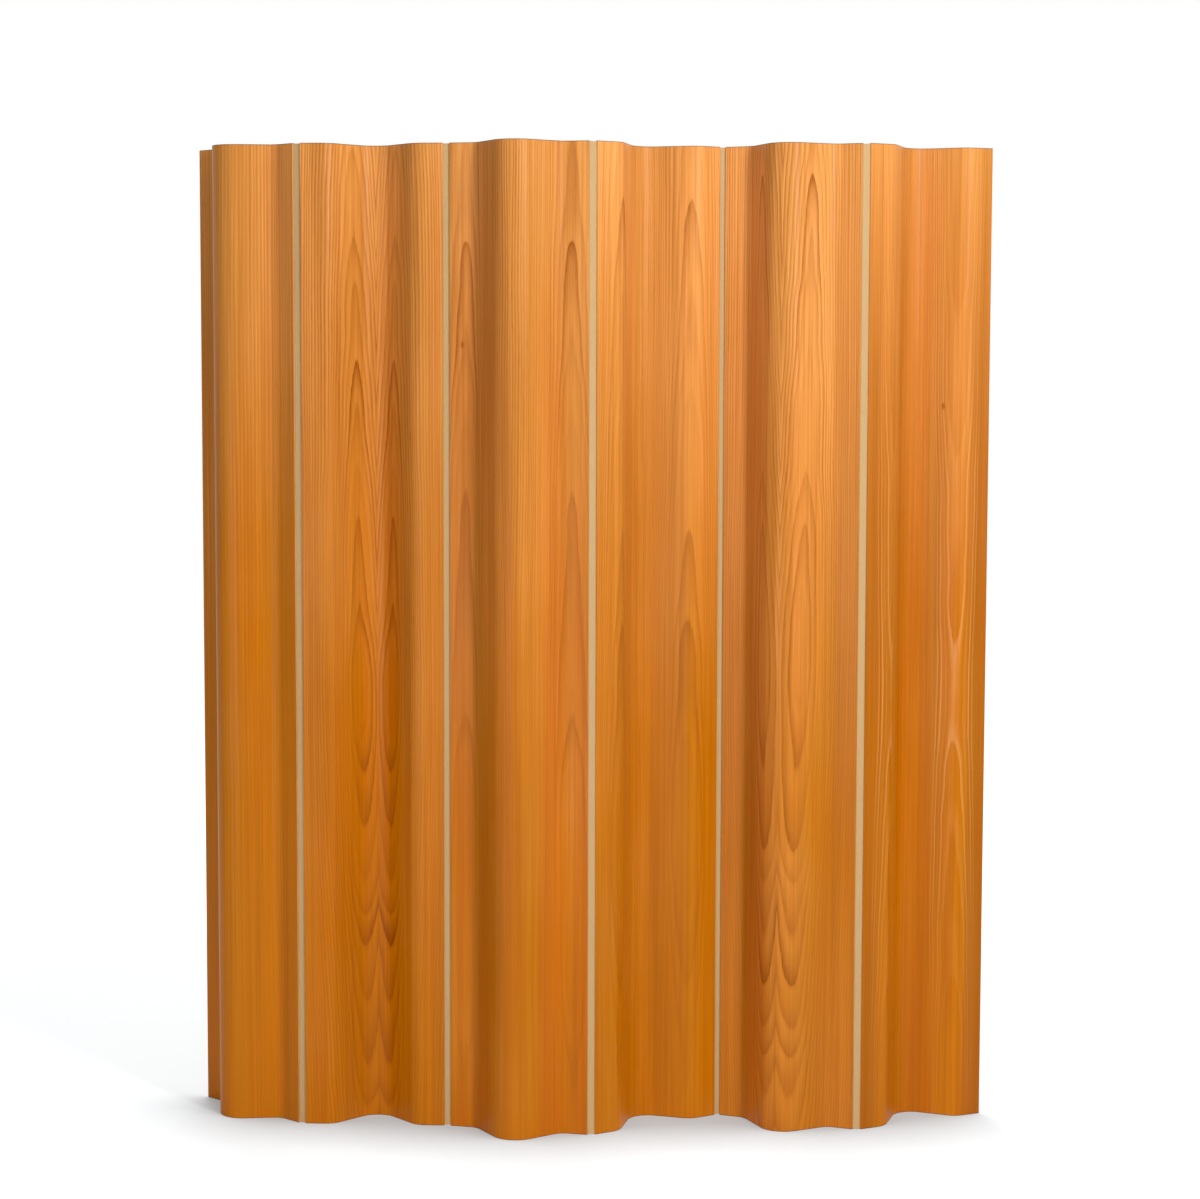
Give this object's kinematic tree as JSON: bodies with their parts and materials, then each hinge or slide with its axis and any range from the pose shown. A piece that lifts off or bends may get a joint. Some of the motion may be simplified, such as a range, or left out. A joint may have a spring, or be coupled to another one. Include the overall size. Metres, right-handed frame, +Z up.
{
  "type": "folding screen",
  "caption": "Free-standing folding screen of wave-moulded plywood panels joined edge to edge by full-height woven hinge strips, shown partly folded.",
  "frame": {"origin": "centre of the footprint of the screen as it stands, on the floor", "axes": "+X along the screen towards panel 6, -Y towards the front, +Z up"},
  "size_m": [1.3866, 0.2706, 1.702],
  "materials": {
    "veneer": "satin lacquered face veneer, upright straight and cathedral grain",
    "crossband": "end grain of the crossbands at the panel edges, lacquered",
    "core": "core ply at the panel edges, lacquered",
    "hinge_cloth": "close plain-woven beige strip"
  },
  "bodies": {
    "panel_1": {"panel_1_front_veneer": "veneer", "panel_1_front_crossband": "crossband", "panel_1_core": "core", "panel_1_back_crossband": "crossband", "panel_1_back_veneer": "veneer", "hinge_1_left_tongue": "hinge_cloth"},
    "panel_2": {"panel_2_front_veneer": "veneer", "panel_2_front_crossband": "crossband", "panel_2_core": "core", "panel_2_back_crossband": "crossband", "panel_2_back_veneer": "veneer", "hinge_1_right_tongue": "hinge_cloth", "hinge_2_left_tongue": "hinge_cloth"},
    "panel_3": {"panel_3_front_veneer": "veneer", "panel_3_front_crossband": "crossband", "panel_3_core": "core", "panel_3_back_crossband": "crossband", "panel_3_back_veneer": "veneer", "hinge_2_right_tongue": "hinge_cloth", "hinge_3_left_tongue": "hinge_cloth"},
    "panel_4": {"panel_4_front_veneer": "veneer", "panel_4_front_crossband": "crossband", "panel_4_core": "core", "panel_4_back_crossband": "crossband", "panel_4_back_veneer": "veneer", "hinge_3_right_tongue": "hinge_cloth", "hinge_4_left_tongue": "hinge_cloth"},
    "panel_5": {"panel_5_front_veneer": "veneer", "panel_5_front_crossband": "crossband", "panel_5_core": "core", "panel_5_back_crossband": "crossband", "panel_5_back_veneer": "veneer", "hinge_4_right_tongue": "hinge_cloth", "hinge_5_left_tongue": "hinge_cloth"},
    "panel_6": {"panel_6_front_veneer": "veneer", "panel_6_front_crossband": "crossband", "panel_6_core": "core", "panel_6_back_crossband": "crossband", "panel_6_back_veneer": "veneer", "hinge_5_right_tongue": "hinge_cloth"},
    "strip_1": {"hinge_1_web": "hinge_cloth"},
    "strip_2": {"hinge_2_web": "hinge_cloth"},
    "strip_3": {"hinge_3_web": "hinge_cloth"},
    "strip_4": {"hinge_4_web": "hinge_cloth"},
    "strip_5": {"hinge_5_web": "hinge_cloth"}
  },
  "joints": [
    {"name": "hinge_3_left_flex", "type": "hinge", "parent": "panel_3", "child": "strip_3", "pos_m": [-0.00286, -0.0983, 0], "axis": [0, 0, 1], "range_deg": [-86.25, 68.75]},
    {"name": "hinge_3_right_flex", "type": "hinge", "parent": "strip_3", "child": "panel_4", "pos_m": [0.00743, -0.09671, 0], "axis": [0, 0, 1], "range_deg": [-86.25, 68.75]},
    {"name": "hinge_4_left_flex", "type": "hinge", "parent": "panel_4", "child": "strip_4", "pos_m": [0.22013, 0.02609, 0], "axis": [0, 0, -1], "range_deg": [-90.5, 64.5]},
    {"name": "hinge_4_right_flex", "type": "hinge", "parent": "strip_4", "child": "panel_5", "pos_m": [0.2305, 0.0269, 0], "axis": [0, 0, -1], "range_deg": [-90.5, 64.5]},
    {"name": "hinge_5_left_flex", "type": "hinge", "parent": "panel_5", "child": "strip_5", "pos_m": [0.45979, -0.06111, 0], "axis": [0, 0, 1], "range_deg": [-113, 67]},
    {"name": "hinge_5_right_flex", "type": "hinge", "parent": "strip_5", "child": "panel_6", "pos_m": [0.4702, -0.06075, 0], "axis": [0, 0, 1], "range_deg": [-113, 67]},
    {"name": "hinge_2_right_flex", "type": "hinge", "parent": "panel_3", "child": "strip_2", "pos_m": [-0.24264, -0.04514, 0], "axis": [0, 0, 1], "range_deg": [-70, 85]},
    {"name": "hinge_2_left_flex", "type": "hinge", "parent": "strip_2", "child": "panel_2", "pos_m": [-0.25296, -0.04378, 0], "axis": [0, 0, 1], "range_deg": [-70, 85]},
    {"name": "hinge_1_right_flex", "type": "hinge", "parent": "panel_2", "child": "strip_1", "pos_m": [-0.49832, -0.03307, 0], "axis": [0, 0, -1], "range_deg": [-109.5, 70.5]},
    {"name": "hinge_1_left_flex", "type": "hinge", "parent": "strip_1", "child": "panel_1", "pos_m": [-0.50798, -0.02917, 0], "axis": [0, 0, -1], "range_deg": [-109.5, 70.5]}
  ]
}
